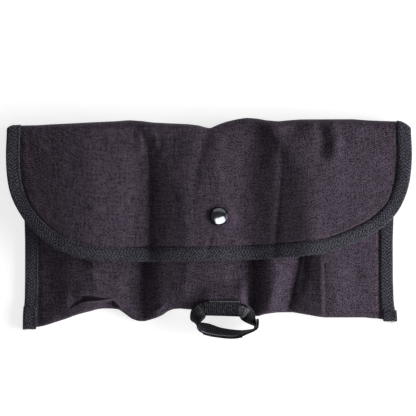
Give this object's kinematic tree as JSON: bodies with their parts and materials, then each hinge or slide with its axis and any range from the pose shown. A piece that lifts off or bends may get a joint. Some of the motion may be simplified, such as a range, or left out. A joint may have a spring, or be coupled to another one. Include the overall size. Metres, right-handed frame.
{
  "type": "hanging toiletry bag",
  "caption": "Soft envelope toiletry bag with a wide bound flap closed by a press stud, inner slip pockets and a webbing hanging strap with a hook-and-loop end.",
  "frame": {"origin": "under the middle of the bag's outline, on the surface that its back lies on", "axes": "+X along the width, +Y from the strap end to the fold of the flap, +Z out of the front face"},
  "size_m": [0.3308, 0.1807, 0.0249],
  "materials": {
    "charcoal_cloth": "plain-woven polyester, matt, slight purple tint",
    "dark_lining": "thin coated lining, satin",
    "binding_tape": "herringbone-woven edge tape, matt",
    "gunmetal": "dark polished press-stud metal",
    "thread": "sewing thread",
    "webbing": "ribbed woven webbing",
    "loop_pile": "brushed loop pile",
    "hook_tape": "moulded hook bristles"
  },
  "bodies": {
    "pouch": {"back_panel": "charcoal_cloth", "back_lining": "dark_lining", "front_panel": "charcoal_cloth", "front_lining": "dark_lining", "pocket_panel": "dark_lining", "pocket_tape": "binding_tape", "mouth_tape": "binding_tape", "side_binding_left": "binding_tape", "side_binding_right": "binding_tape", "bar_tack_left": "thread", "bar_tack_right": "thread", "flap_fold": "charcoal_cloth", "front_snap_patch": "dark_lining", "snap_post": "gunmetal", "snap_stud": "gunmetal", "strap_seam": "webbing"},
    "flap": {"flap_outer": "charcoal_cloth", "flap_lining": "dark_lining", "flap_binding": "binding_tape", "flap_snap_patch": "dark_lining", "snap_cap": "gunmetal", "snap_socket": "gunmetal"},
    "strap": {"strap_base": "webbing", "strap_long_limb": "webbing", "strap_short_limb": "webbing", "loop_patch": "loop_pile"},
    "hook_tab": {"strap_tab": "webbing", "hook_patch": "hook_tape"}
  },
  "joints": [
    {"name": "flap_hinge", "type": "hinge", "parent": "pouch", "child": "flap", "pos_m": [0, 0.08, 0.0127], "axis": [-1, 0, 0], "range_deg": [0, 178], "deforming": ["flap_fold"]},
    {"name": "strap_swing", "type": "hinge", "parent": "pouch", "child": "strap", "pos_m": [0, -0.0602, 0.017], "axis": [-1, 0, 0], "range_deg": [0, 150]},
    {"name": "tab_peel", "type": "hinge", "parent": "strap", "child": "hook_tab", "pos_m": [0.0335, -0.08505, 0.0098], "axis": [-0.0501, 0.1202, -0.9915], "range_deg": [0, 100]}
  ]
}
